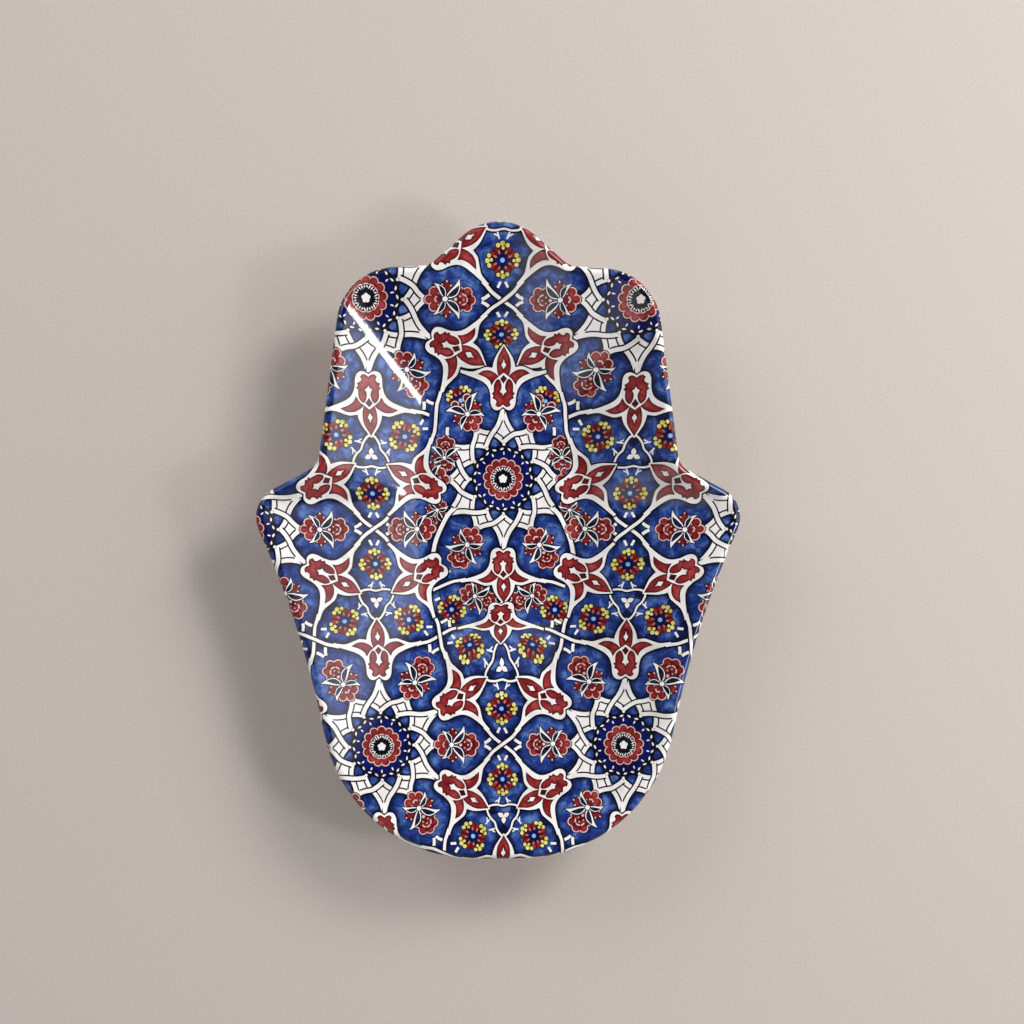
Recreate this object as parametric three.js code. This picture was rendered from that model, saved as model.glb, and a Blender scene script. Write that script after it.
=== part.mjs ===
// Hand-shaped (hamsa) serving dish in glazed ceramic. Millimetres, +Z up.
// The origin is on the table below the middle of the outline. +Y points to the fingertip, +X to the right thumb.
import * as THREE from "three";

// Outline, seen from above: a belt drawn round discs. Drops are measured down from the fingertip.
const plateLength = 280;
const fingertipRadius = 24;
const fingerNotchSpan = 69;
const fingerNotchDrop = 10.5;
const fingerNotchRadius = 9;
const shoulderSpan = 143;
const shoulderDrop = 20.3;
const shoulderRadius = 26;
const thumbNotchSpan = 174;
const thumbNotchDrop = 102;
const thumbNotchRadius = 8;
const thumbSpan = 213;
const thumbDrop = 130;
const thumbRadius = 14;
const waistRadius = 420;
const heelSpan = 156;
const heelRadius = 68;

// Height and wall
const plateHeight = 34;
const wallThickness = 5;
const footHeight = 4;

// Flat well, in plan
const wellWidth = 62;
const wellLength = 102;
const wellDrop = 72;
const wellCornerRadius = 16;
const wellFillet = 18;

// Foot ring under the well
const footInset = 1;
const footWidth = 6;
const footEdge = 1;

// Glaze and print coats
const coatThickness = 0.5;
const coatGap = 0.1;
const seamGap = 0.3;
const printWrap = 150;

// Smoothness of the faceted model
const arcStep = THREE.MathUtils.degToRad(13);
const lineStep = 24;
const filletSteps = 3;
const lipSteps = 5;
const slopePasses = 5;

const up = new THREE.Vector3(0, 0, 1);
const down = new THREE.Vector3(0, 0, -1);
const fingertipY = plateLength / 2;
const wellCentre = new THREE.Vector3(0, fingertipY - wellDrop - wellLength / 2, 0);
const wellFloor = footHeight + wallThickness;
const lipRadius = wallThickness / 2;

// An arccosine that stays at its end when a notch is as large as its room allows.
function arccos(value) {
  return Math.acos(THREE.MathUtils.clamp(value, -1, 1));
}

// The hollow disc outside the plate that touches discs a and b.
function hollowBetween(a, b, radius) {
  const span = Math.hypot(b.x - a.x, b.y - a.y);
  const reachA = a.r + radius;
  const reachB = b.r + radius;
  const bearing = Math.atan2(b.y - a.y, b.x - a.x);
  const angle = bearing + arccos((reachA ** 2 + span ** 2 - reachB ** 2) / (2 * reachA * span));
  return { x: a.x + reachA * Math.cos(angle), y: a.y + reachA * Math.sin(angle), r: -radius };
}

// Discs of the right half, fingertip first. A negative radius bends the belt inwards.
const thumb = { x: thumbSpan / 2 - thumbRadius, y: fingertipY - thumbDrop, r: thumbRadius };
const heel = { x: heelSpan / 2 - heelRadius, y: -plateLength / 2 + heelRadius, r: heelRadius };
const outlineDiscs = [
  { x: 0, y: fingertipY - fingertipRadius, r: fingertipRadius },
  { x: fingerNotchSpan / 2, y: fingertipY - fingerNotchDrop, r: -fingerNotchRadius },
  { x: shoulderSpan / 2 - shoulderRadius, y: fingertipY - shoulderDrop - shoulderRadius, r: shoulderRadius },
  { x: thumbNotchSpan / 2, y: fingertipY - thumbNotchDrop, r: -thumbNotchRadius },
  thumb,
  hollowBetween(thumb, heel, waistRadius),
  heel,
];

// Direction square to the straight run from disc a to disc b, pointing out of the plate.
function tangentAngle(a, b) {
  const dx = b.x - a.x;
  const dy = b.y - a.y;
  return Math.atan2(dy, dx) + arccos((a.r - b.r) / Math.hypot(dx, dy));
}

function wrapAngle(angle) {
  return Math.atan2(Math.sin(angle), Math.cos(angle));
}

function discPoint(disc, angle) {
  const normal = new THREE.Vector3(Math.cos(angle), Math.sin(angle), 0);
  const point = new THREE.Vector3(disc.x, disc.y, 0).addScaledVector(normal, disc.r);
  return { point, normal };
}

// Points round one half of the outline, from straight above the first disc to straight below the last.
function halfOutline(discs) {
  const samples = [];
  let angle = Math.PI / 2;
  discs.forEach((disc, k) => {
    const next = discs[k + 1];
    const turn = wrapAngle((next ? tangentAngle(disc, next) : -Math.PI / 2) - angle);
    const steps = Math.max(1, Math.ceil(Math.abs(turn) / arcStep));
    for (let s = 0; s <= steps; s += 1) samples.push(discPoint(disc, angle + (turn * s) / steps));
    angle += turn;
    if (!next) return;
    const from = samples[samples.length - 1];
    const to = discPoint(next, angle);
    const runs = Math.ceil(from.point.distanceTo(to.point) / lineStep);
    for (let s = 1; s < runs; s += 1) {
      samples.push({ point: from.point.clone().lerp(to.point, s / runs), normal: from.normal.clone() });
    }
  });
  return samples;
}

// The whole outline, clockwise from the fingertip. The points on the centre line are kept once.
function wholeOutline(discs) {
  const right = halfOutline(discs);
  const mirrored = right
    .filter(({ point }) => point.x > 1e-6)
    .reverse()
    .map(({ point, normal }) => ({
      point: new THREE.Vector3(-point.x, point.y, 0),
      normal: new THREE.Vector3(-normal.x, normal.y, 0),
    }));
  return [...right, ...mirrored];
}

// Distance from the middle of the well to its rounded rectangle, drawn in by an inset, along a direction.
function wellReach(direction, inset) {
  const radius = Math.max(wellCornerRadius - inset, 1);
  const cornerX = wellWidth / 2 - inset - radius;
  const cornerY = wellLength / 2 - inset - radius;
  const dx = Math.abs(direction.x);
  const dy = Math.abs(direction.y);
  const sideReach = dx > 0 ? (cornerX + radius) / dx : Infinity;
  if (sideReach * dy <= cornerY) return sideReach;
  const endReach = dy > 0 ? (cornerY + radius) / dy : Infinity;
  if (endReach * dx <= cornerX) return endReach;
  const along = cornerX * dx + cornerY * dy;
  const across = cornerX * dy - cornerY * dx;
  return along + Math.sqrt(radius * radius - across * across);
}

function wellPoint(direction, inset, z) {
  return wellCentre.clone().addScaledVector(direction, wellReach(direction, inset)).setZ(z);
}

// One section of the finished plate, from the middle of the well over the lip to the middle of the base.
// Each entry is a point on the glaze and the direction out of it; names mark where coats begin and end.
function section({ point: rim, normal: out }) {
  const lipCentre = rim.clone().addScaledVector(out, -lipRadius).setZ(plateHeight - lipRadius);
  const lipPoint = (turn) => {
    const normal = out.clone().multiplyScalar(Math.cos(turn)).addScaledVector(up, Math.sin(turn));
    return { point: lipCentre.clone().addScaledVector(normal, lipRadius), normal };
  };

  // The wall leaves the fillet straight and meets the lip's roll without a kink, which a few passes settle.
  let lipSlope = 0;
  let wallTop, ray, wellEdge, slope;
  for (let pass = 0; pass < slopePasses; pass += 1) {
    wallTop = lipPoint(Math.PI / 2 + lipSlope);
    ray = wallTop.point.clone().sub(wellCentre).setZ(0).normalize();
    wellEdge = wellPoint(ray, 0, wellFloor);
    const reach = wallTop.point.clone().setZ(wellFloor).distanceTo(wellEdge);
    const rise = wallTop.point.z - wellFloor - wellFillet;
    slope = Math.atan2(rise, reach) + Math.asin(wellFillet / Math.hypot(reach, rise));
    lipSlope = Math.atan(Math.tan(slope) / ray.dot(out));
  }
  const lipStart = Math.PI / 2 + lipSlope;
  const lipEnd = lipStart - Math.PI;
  const wrapEnd = lipStart - THREE.MathUtils.degToRad(printWrap);
  const glazeStart = wrapEnd - seamGap / lipRadius;

  const printEdge = wellEdge.clone().addScaledVector(ray, -seamGap);
  const upper = [{ name: "wellPrintEdge", point: printEdge, normal: up.clone() }];
  for (let s = 0; s <= filletSteps; s += 1) {
    const bend = (slope * s) / filletSteps;
    const point = wellEdge.clone().addScaledVector(ray, wellFillet * Math.sin(bend));
    point.z += wellFillet * (1 - Math.cos(bend));
    upper.push({ name: s === 0 ? "wallPrintEdge" : "fillet", point, bend, ray });
  }
  const filletEnd = upper[upper.length - 1];
  const middle = filletEnd.point.clone().lerp(wallTop.point, 0.5);
  upper.push({ name: "wall", point: middle, bend: slope, ray });

  const lip = [{ name: "wallTop", ...wallTop }];
  for (let s = 1; s <= lipSteps; s += 1) {
    const turn = THREE.MathUtils.lerp(lipStart, wrapEnd, s / lipSteps);
    lip.push({ name: s === lipSteps ? "printEnd" : "lip", ...lipPoint(turn) });
  }
  lip.push({ name: "glazeStart", ...lipPoint(glazeStart) });
  lip.push({ name: "lipEnd", ...lipPoint(lipEnd) });

  const footOuter = wellPoint(ray, footInset - seamGap, footHeight);
  const footInner = wellPoint(ray, footInset + footWidth + seamGap, footHeight);
  const base = [
    { name: "footOuter", point: footOuter, normal: down.clone() },
    { name: "footInner", point: footInner, normal: down.clone() },
  ];
  return { ray, upper, lip, base };
}

// The finished surface as rings of points that run once round the plate.
function glazedRings(outline) {
  const sections = outline.map(section);
  const count = sections.length;
  const ringOf = (part, k) => ({ name: sections[0][part][k].name, spots: sections.map((s) => s[part][k]) });
  const upper = sections[0].upper.map((_, k) => ringOf("upper", k));
  upper.forEach(({ spots }) => {
    spots.forEach((spot, i) => {
      if (spot.normal) return;
      const along = spots[(i + 1) % count].point.clone().sub(spots[(i + count - 1) % count].point);
      const climb = spot.ray.clone().multiplyScalar(Math.cos(spot.bend));
      climb.addScaledVector(up, Math.sin(spot.bend));
      spot.normal = climb.cross(along).normalize();
      if (spot.normal.z < 0) spot.normal.negate();
    });
  });
  const lip = sections[0].lip.map((_, k) => ringOf("lip", k));
  const lower = upper
    .filter(({ name }) => name !== "wellPrintEdge")
    .reverse()
    .map(({ name, spots }) => ({
      name: `under_${name}`,
      spots: spots.map(({ point, normal }) => ({
        point: point.clone().addScaledVector(normal, -wallThickness),
        normal: normal.clone().negate(),
      })),
    }));
  const base = sections[0].base.map((_, k) => ringOf("base", k));
  const pole = (name, z, normal) => ({ name, spots: [{ point: wellCentre.clone().setZ(z), normal }] });
  const wellMiddle = pole("wellMiddle", wellFloor, up);
  const baseMiddle = pole("baseMiddle", footHeight, down);
  const rings = [wellMiddle, ...upper, ...lip, ...lower, ...base, baseMiddle];
  return rings.map((ring, rank) => ({ ...ring, rank }));
}

// One ring of the glaze, sunk below it by a depth. The rank keeps its place between well and base.
function sink(ring, depth) {
  const points = ring.spots.map(({ point, normal }) => point.clone().addScaledVector(normal, -depth));
  return { points, rank: ring.rank };
}

// A closed solid through rings of points. Single points close its ends, or else the last ring meets the first.
// Quads split along the same diagonal on both faces of a coat, mirrored left to right, so that coats stay parallel.
function ringSolid(rings) {
  const geometry = new THREE.BufferGeometry();
  const points = rings.flatMap((ring) => ring.points);
  geometry.setAttribute("position", new THREE.Float32BufferAttribute(points.flatMap((p) => p.toArray()), 3));
  const starts = rings.map((_, k) => rings.slice(0, k).flatMap((ring) => ring.points).length);
  const count = Math.max(...rings.map((ring) => ring.points.length));
  const isPole = (k) => rings[k].points.length === 1;
  const at = (k, i) => starts[k] + (isPole(k) ? 0 : i % count);
  const strips = isPole(0) ? rings.length - 1 : rings.length;
  const index = [];
  for (let k = 0; k < strips; k += 1) {
    const next = (k + 1) % rings.length;
    const outward = rings[next].rank > rings[k].rank;
    for (let i = 0; i < count; i += 1) {
      const rightHalf = i < count / 2;
      if (isPole(k)) index.push(at(k, i), at(next, i + 1), at(next, i));
      else if (isPole(next)) index.push(at(k, i), at(k, i + 1), at(next, i));
      else if (outward === rightHalf) {
        index.push(at(k, i), at(next, i + 1), at(next, i), at(k, i), at(k, i + 1), at(next, i + 1));
      } else {
        index.push(at(k, i), at(k, i + 1), at(next, i), at(k, i + 1), at(next, i + 1), at(next, i));
      }
    }
  }
  geometry.setIndex(index);
  geometry.computeVertexNormals();
  return geometry;
}

const glaze = glazedRings(wholeOutline(outlineDiscs));
const ringNamed = (name) => glaze.findIndex((ring) => ring.name === name);
const rays = wholeOutline(outlineDiscs).map((sample) => section(sample).ray);

// A coat between two named rings, as thick as the coats are.
function coat(first, last) {
  const rings = glaze.slice(ringNamed(first), ringNamed(last) + 1);
  const outside = rings.map((ring) => sink(ring, 0));
  const inside = rings.map((ring) => sink(ring, coatThickness));
  if (rings[rings.length - 1].spots.length === 1) return ringSolid([...inside.reverse(), ...outside]);
  return ringSolid([...outside, ...inside.reverse()]);
}

function bodyGeometry() {
  return ringSolid(glaze.map((ring) => sink(ring, coatThickness + coatGap)));
}

// The foot ring passes through the glaze below and stops one coat gap short of the body.
function footGeometry() {
  const top = footHeight + coatThickness;
  const outer = footInset;
  const inner = footInset + footWidth;
  const corners = [
    [inner, top],
    [outer, top],
    [outer, footEdge],
    [outer + footEdge, 0],
    [inner - footEdge, 0],
    [inner, footEdge],
  ];
  const points = ([inset, z]) => rays.map((ray) => wellPoint(ray, inset, z));
  return ringSolid(corners.map((corner, rank) => ({ points: points(corner), rank })));
}

// Materials
function finish(name, color, roughness) {
  return new THREE.MeshStandardMaterial({ name, color, roughness, metalness: 0 });
}
const biscuit = finish("biscuit_clay", 0xe4d9c6, 0.85);
const print = finish("glazed_print", 0x2b4a97, 0.12);
const plainGlaze = finish("plain_glaze", 0xf0ece2, 0.15);

const pieces = [
  ["plate_body", bodyGeometry(), biscuit],
  ["foot_ring", footGeometry(), biscuit],
  ["wall_print", coat("wallPrintEdge", "printEnd"), print],
  ["well_print", coat("wellMiddle", "wellPrintEdge"), print],
  ["underside_glaze", coat("glazeStart", "footOuter"), plainGlaze],
  ["foot_well_glaze", coat("footInner", "baseMiddle"), plainGlaze],
];

const plate = new THREE.Group();
plate.name = "hamsa_serving_plate";
for (const [name, geometry, material] of pieces) {
  const mesh = new THREE.Mesh(geometry, material);
  mesh.name = name;
  plate.add(mesh);
}

export default plate;
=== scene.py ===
import math

import bpy
import numpy as np
from mathutils import Matrix, Vector
from mathutils.geometry import delaunay_2d_cdt
from mathutils.kdtree import KDTree


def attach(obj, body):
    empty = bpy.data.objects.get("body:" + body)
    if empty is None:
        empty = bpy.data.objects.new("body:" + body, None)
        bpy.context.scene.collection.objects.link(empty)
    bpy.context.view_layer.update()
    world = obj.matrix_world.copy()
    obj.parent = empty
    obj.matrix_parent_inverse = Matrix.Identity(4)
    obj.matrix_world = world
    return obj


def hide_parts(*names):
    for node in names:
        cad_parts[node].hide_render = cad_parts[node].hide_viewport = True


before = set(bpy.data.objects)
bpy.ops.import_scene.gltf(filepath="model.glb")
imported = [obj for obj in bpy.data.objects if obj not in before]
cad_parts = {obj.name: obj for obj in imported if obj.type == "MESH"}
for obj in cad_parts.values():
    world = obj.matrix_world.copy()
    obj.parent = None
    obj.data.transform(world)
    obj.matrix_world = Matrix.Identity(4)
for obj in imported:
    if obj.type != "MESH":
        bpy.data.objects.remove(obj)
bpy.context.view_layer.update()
mm = 0.001


# Plate form, in millimetres, the same values as the solids
plate = {
    "length": 280.0, "height": 34.0, "wall": 5.0, "footHeight": 4.0,
    "fingertipRadius": 24.0,
    "fingerNotchSpan": 69.0, "fingerNotchDrop": 10.5, "fingerNotchRadius": 9.0,
    "shoulderSpan": 143.0, "shoulderDrop": 20.3, "shoulderRadius": 26.0,
    "thumbNotchSpan": 174.0, "thumbNotchDrop": 102.0, "thumbNotchRadius": 8.0,
    "thumbSpan": 213.0, "thumbDrop": 130.0, "thumbRadius": 14.0,
    "waistRadius": 420.0, "heelSpan": 156.0, "heelRadius": 68.0,
    "arcStep": 3.0,          # degrees between outline points
    "lineStep": 2.4,         # mm between them on straight runs
    "filletSteps": 10, "wallSteps": 10, "lipSteps": 14, "slopeRounds": 6,
}
well = {"width": 62.0, "length": 102.0, "drop": 72.0, "corner": 16.0, "fillet": 18.0}
foot = {"inset": 1.0, "width": 6.0, "edge": 1.0, "edgeSteps": 6}
coat = {
    "thickness": 0.5, "bodyGap": 0.1, "seam": 0.3,
    "wrap": 150.0,           # degrees of the lip under the print
    "spare": 0.06,           # radians of form past its edge
    "lipRings": 4,           # of plain glaze on the rest of the lip
}

tipY = plate["length"] / 2
wellCentre = np.array([0.0, tipY - well["drop"] - well["length"] / 2])
wellFloor = plate["footHeight"] + plate["wall"]
lipRadius = plate["wall"] / 2


def clampedArccos(value):
    return math.acos(max(-1.0, min(1.0, value)))


def outlineDiscs():
    p = plate
    thumb = (p["thumbSpan"] / 2 - p["thumbRadius"], tipY - p["thumbDrop"], p["thumbRadius"])
    heel = (p["heelSpan"] / 2 - p["heelRadius"], p["heelRadius"] - tipY, p["heelRadius"])
    span = math.dist(thumb[:2], heel[:2])
    near, far = thumb[2] + p["waistRadius"], heel[2] + p["waistRadius"]
    heading = math.atan2(heel[1] - thumb[1], heel[0] - thumb[0])
    heading += clampedArccos((near**2 + span**2 - far**2) / (2 * near * span))
    waist = (thumb[0] + near * math.cos(heading), thumb[1] + near * math.sin(heading), -p["waistRadius"])
    return [  # x, y, radius; a negative radius bends the outline inwards
        (0.0, tipY - p["fingertipRadius"], p["fingertipRadius"]),
        (p["fingerNotchSpan"] / 2, tipY - p["fingerNotchDrop"], -p["fingerNotchRadius"]),
        (p["shoulderSpan"] / 2 - p["shoulderRadius"], tipY - p["shoulderDrop"] - p["shoulderRadius"],
         p["shoulderRadius"]),
        (p["thumbNotchSpan"] / 2, tipY - p["thumbNotchDrop"], -p["thumbNotchRadius"]),
        thumb, waist, heel,
    ]


def handOutline():
    # x, y and the outward direction, clockwise from the fingertip
    discs = outlineDiscs()
    half = []
    angle = math.pi / 2
    for k, (x, y, r) in enumerate(discs):
        turn = -math.pi / 2 - angle
        if k + 1 < len(discs):
            nx, ny, nr = discs[k + 1]
            turn = math.atan2(ny - y, nx - x) + clampedArccos((r - nr) / math.hypot(nx - x, ny - y)) - angle
        turn = math.atan2(math.sin(turn), math.cos(turn))
        fine = max(abs(turn) / math.radians(plate["arcStep"]), abs(turn * r) / plate["lineStep"])
        steps = max(1, math.ceil(min(fine, abs(turn) / math.radians(plate["arcStep"]) * 2)))
        for s in range(steps + 1):
            a = angle + turn * s / steps
            half.append((x + r * math.cos(a), y + r * math.sin(a), math.cos(a), math.sin(a)))
        angle += turn
        if k + 1 < len(discs):
            start = half[-1]
            end = (nx + nr * math.cos(angle), ny + nr * math.sin(angle))
            runs = math.ceil(math.dist(start[:2], end) / plate["lineStep"])
            for s in range(1, runs):
                between = [a + (b - a) * (s / runs) for a, b in zip(start, end)]
                half.append((*between, *start[2:]))
    other = [(-x, y, -dx, dy) for x, y, dx, dy in reversed(half) if x > 1e-6]
    return np.array(half + other)


def wellReach(ray, inset):
    # from the middle of the well to its rounded rectangle, along each ray
    corner = max(well["corner"] - inset, 1.0)
    cx = well["width"] / 2 - inset - corner
    cy = well["length"] / 2 - inset - corner
    dx, dy = np.abs(ray[:, 0]) + 1e-12, np.abs(ray[:, 1]) + 1e-12
    side, end = (cx + corner) / dx, (cy + corner) / dy
    arc = cx * dx + cy * dy + np.sqrt(np.maximum(corner**2 - (cx * dy - cy * dx) ** 2, 0.0))
    return np.where(side * dy <= cy, side, np.where(end * dx <= cx, end, arc))


def stacked(plan, z):
    return np.column_stack([plan, np.broadcast_to(z, len(plan))])


def formedRings():
    # the glazed surface from the well's edge over the lip, then the underside, as rings of points
    rim = handOutline()
    out = rim[:, 2:]
    lipCentre = rim[:, :2] - lipRadius * out
    lipHeight = plate["height"] - lipRadius
    lipSlope = np.zeros(len(rim))
    for settle in range(plate["slopeRounds"]):   # the wall's slope and the lip's turn need each other
        top = lipCentre - lipRadius * np.sin(lipSlope)[:, None] * out
        topZ = lipHeight + lipRadius * np.cos(lipSlope)
        ray = top - wellCentre
        far = np.linalg.norm(ray, axis=1)
        ray = ray / far[:, None]
        reach = far - wellReach(ray, 0.0)
        rise = topZ - wellFloor - well["fillet"]
        slope = np.arctan2(rise, reach) + np.arcsin(well["fillet"] / np.hypot(rise, reach))
        lipSlope = np.arctan(np.tan(slope) / (ray * out).sum(axis=1))
    edge = wellCentre + ray * wellReach(ray, 0.0)[:, None]
    rings = []

    def addWallRing(points, bend):
        along = np.roll(points, -1, axis=0) - np.roll(points, 1, axis=0)
        climb = np.column_stack([ray * np.cos(bend)[:, None], np.sin(bend)])
        normal = np.cross(climb, along)
        normal *= np.sign(normal[:, 2:]) / np.linalg.norm(normal, axis=1)[:, None]
        rings.append({"points": points, "normals": normal, "flat": points[:, :2].copy()})

    for s in range(plate["filletSteps"] + 1):
        bend = slope * s / plate["filletSteps"]
        points = stacked(edge + ray * (well["fillet"] * np.sin(bend))[:, None],
                         wellFloor + well["fillet"] * (1 - np.cos(bend)))
        addWallRing(points, bend)
    foldEnd = rings[-1]["points"]
    for s in range(1, plate["wallSteps"]):
        t = s / plate["wallSteps"]
        addWallRing(foldEnd * (1 - t) + stacked(top, topZ) * t, slope)
    wallRings = list(rings)

    lipStart = math.pi / 2 + lipSlope

    def lipRing(swept):
        angle = lipStart - swept
        normal = np.column_stack([out * np.cos(angle)[:, None], np.sin(angle)])
        return {"points": stacked(lipCentre, lipHeight) + lipRadius * normal, "normals": normal,
                "flat": top + out * lipRadius * swept}

    wrap = math.radians(coat["wrap"])
    lip = [lipRing(wrap * s / plate["lipSteps"]) for s in range(plate["lipSteps"] + 1)]
    spare = lipRing(wrap + coat["spare"])
    glazeLip = [lipRing(a) for a in np.linspace(wrap + coat["seam"] / lipRadius, math.pi, coat["lipRings"])]
    under = [{"points": r["points"] - plate["wall"] * r["normals"], "normals": -r["normals"]}
             for r in reversed(wallRings)]
    down = np.tile([0.0, 0.0, -1.0], (len(rim), 1))

    def baseRing(inset):
        plan = wellCentre + ray * wellReach(ray, inset)[:, None]
        return {"points": stacked(plan, plate["footHeight"]), "normals": down}

    return {"ray": ray, "wall": wallRings, "lip": lip, "spare": spare, "glazeLip": glazeLip, "under": under,
            "footOuter": baseRing(foot["inset"] - coat["seam"]),
            "footInner": baseRing(foot["inset"] + foot["width"] + coat["seam"])}


form = formedRings()
print("plate form:", len(form["ray"]), "points round the outline")


def newObject(name, data):
    item = bpy.data.objects.new(name, data)
    bpy.context.scene.collection.objects.link(item)
    return item


def newMesh(name, points, faces):
    mesh = bpy.data.meshes.new(name)
    mesh.from_pydata(points, [], faces)
    mesh.polygons.foreach_set("use_smooth", [True] * len(faces))
    return mesh


def ringFaces(rings):
    # rings run round the plate; a single point closes an end, or else the last ring meets the first
    count = len(form["ray"])
    starts = np.cumsum([0] + [len(ring) for ring in rings]).tolist()
    faces = []
    for k in range(len(rings) - 1 if len(rings[0]) == 1 else len(rings)):
        n = (k + 1) % len(rings)
        a, b = starts[k], starts[n]
        for i in range(count):
            j = (i + 1) % count
            if len(rings[k]) == 1:
                faces.append((a, b + j, b + i))
            elif len(rings[n]) == 1:
                faces.append((a + i, a + j, b))
            else:
                faces.append((a + i, a + j, b + j, b + i))
    return faces


def setPointVectors(mesh, name, values):
    attribute = mesh.attributes.new(name, "FLOAT_VECTOR", "POINT")
    attribute.data.foreach_set("vector", np.asarray(values, dtype=np.float32).ravel())


def readVectors(items, name):
    values = np.empty(len(items) * 3, dtype=np.float32)
    items.foreach_get(name, values)
    return values.reshape(-1, 3).astype(float)


# Node trees
def startTree(name, sockets):
    tree = bpy.data.node_groups.new(name, "GeometryNodeTree")
    tree.interface.new_socket("Geometry", in_out="INPUT", socket_type="NodeSocketGeometry")
    for label, kind in sockets:
        tree.interface.new_socket(label, in_out="INPUT", socket_type=kind)
    tree.interface.new_socket("Geometry", in_out="OUTPUT", socket_type="NodeSocketGeometry")
    return tree, tree.nodes.new("NodeGroupInput").outputs, tree.nodes.new("NodeGroupOutput").inputs


def addNode(tree, kind, links=None, **settings):
    node = tree.nodes.new(kind)
    for key, value in settings.items():
        setattr(node, key, value)
    for socket, source in (links or {}).items():
        if isinstance(source, bpy.types.NodeSocket):
            tree.links.new(source, node.inputs[socket])
        else:
            node.inputs[socket].default_value = source
    return node


def mathNode(tree, operation, a, b=0.0):
    return addNode(tree, "ShaderNodeMath", {0: a, 1: b}, operation=operation).outputs[0]


def runTree(piece, tree, values):
    modifier = piece.modifiers.new(tree.name, "NODES")
    modifier.node_group = tree
    for item in tree.interface.items_tree:
        if item.item_type == "SOCKET" and item.in_out == "INPUT" and item.name in values:
            modifier[item.identifier] = values[item.name]
    piece.update_tag()
    depsgraph = bpy.context.evaluated_depsgraph_get()
    depsgraph.update()
    mesh = bpy.data.meshes.new_from_object(piece.evaluated_get(depsgraph))
    piece.modifiers.remove(modifier)
    return mesh


def endTree(tree, given, result, geometry):
    real = addNode(tree, "GeometryNodeRealizeInstances", {"Geometry": geometry}).outputs[0]
    inked = addNode(tree, "GeometryNodeSetMaterial", {"Geometry": real, "Material": given["Ink"]}).outputs[0]
    tree.links.new(inked, result[0])
    return tree


def buildNetTree():
    # sets one motif round every rosette of a hexagonal net
    tree, given, result = startTree("ornamentNet", [
        ("Motif", "NodeSocketObject"), ("Spacing", "NodeSocketFloat"), ("Columns", "NodeSocketInt"),
        ("Rows", "NodeSocketInt"), ("Copies", "NodeSocketInt"), ("Step", "NodeSocketFloat"),
        ("Ink", "NodeSocketMaterial")])
    index = addNode(tree, "GeometryNodeInputIndex").outputs[0]
    motif = addNode(tree, "GeometryNodeObjectInfo", {"Object": given["Motif"]}).outputs["Geometry"]
    ringPoints = addNode(tree, "GeometryNodePoints", {"Count": given["Copies"]}).outputs[0]
    turn = mathNode(tree, "MULTIPLY", index, given["Step"])
    heading = addNode(tree, "ShaderNodeCombineXYZ", {"Z": turn}).outputs[0]
    ring = addNode(tree, "GeometryNodeInstanceOnPoints",
                   {"Points": ringPoints, "Instance": motif, "Rotation": heading}).outputs[0]

    def whole(a, b):
        return mathNode(tree, "FLOOR", mathNode(tree, "DIVIDE", a, b))

    row = mathNode(tree, "SUBTRACT", whole(index, given["Columns"]), whole(given["Rows"], 2.0))
    column = mathNode(tree, "FLOORED_MODULO", index, given["Columns"])
    column = mathNode(tree, "SUBTRACT", column, whole(given["Columns"], 2.0))
    shift = mathNode(tree, "MULTIPLY", mathNode(tree, "FLOORED_MODULO", row, 2.0), 0.5)
    x = mathNode(tree, "MULTIPLY", mathNode(tree, "ADD", column, shift), given["Spacing"])
    y = mathNode(tree, "MULTIPLY", mathNode(tree, "MULTIPLY", row, given["Spacing"]), math.sqrt(3) / 2)
    place = addNode(tree, "ShaderNodeCombineXYZ", {"X": x, "Y": y}).outputs[0]
    count = mathNode(tree, "MULTIPLY", given["Columns"], given["Rows"])
    netPoints = addNode(tree, "GeometryNodePoints", {"Count": count, "Position": place}).outputs[0]
    spread = addNode(tree, "GeometryNodeInstanceOnPoints", {"Points": netPoints, "Instance": ring}).outputs[0]
    return endTree(tree, given, result, spread)


def buildWrapTree():
    # lays a flat printed sheet on the formed plate
    sockets = [("Form", "NodeSocketObject"), ("Ink", "NodeSocketMaterial")]
    tree, given, result = startTree("printWrap", sockets)
    shape = addNode(tree, "GeometryNodeObjectInfo", {"Object": given["Form"]}).outputs["Geometry"]
    here = addNode(tree, "GeometryNodeInputPosition").outputs[0]
    flat, outward = (addNode(tree, "GeometryNodeInputNamedAttribute", {"Name": name},
                             data_type="FLOAT_VECTOR").outputs[0] for name in ("flat", "outward"))
    place, normal = (addNode(tree, "GeometryNodeSampleUVSurface",
                             {"Mesh": shape, "Value": value, "UV Map": flat, "Sample UV": here},
                             data_type="FLOAT_VECTOR").outputs[0] for value in (here, outward))
    kept = addNode(tree, "GeometryNodeStoreNamedAttribute",
                   {"Geometry": given["Geometry"], "Name": "outward", "Value": normal},
                   data_type="FLOAT_VECTOR", domain="POINT").outputs[0]
    laid = addNode(tree, "GeometryNodeSetPosition", {"Geometry": kept, "Position": place}).outputs[0]
    return endTree(tree, given, result, laid)


# Drawing tools for the ornament, all in millimetres on the flat sheet
curveStep = 1.1              # between the points of a drawn curve


def polar(radius, degrees):
    turn = math.radians(degrees)
    return (radius * math.cos(turn), radius * math.sin(turn))


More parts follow.
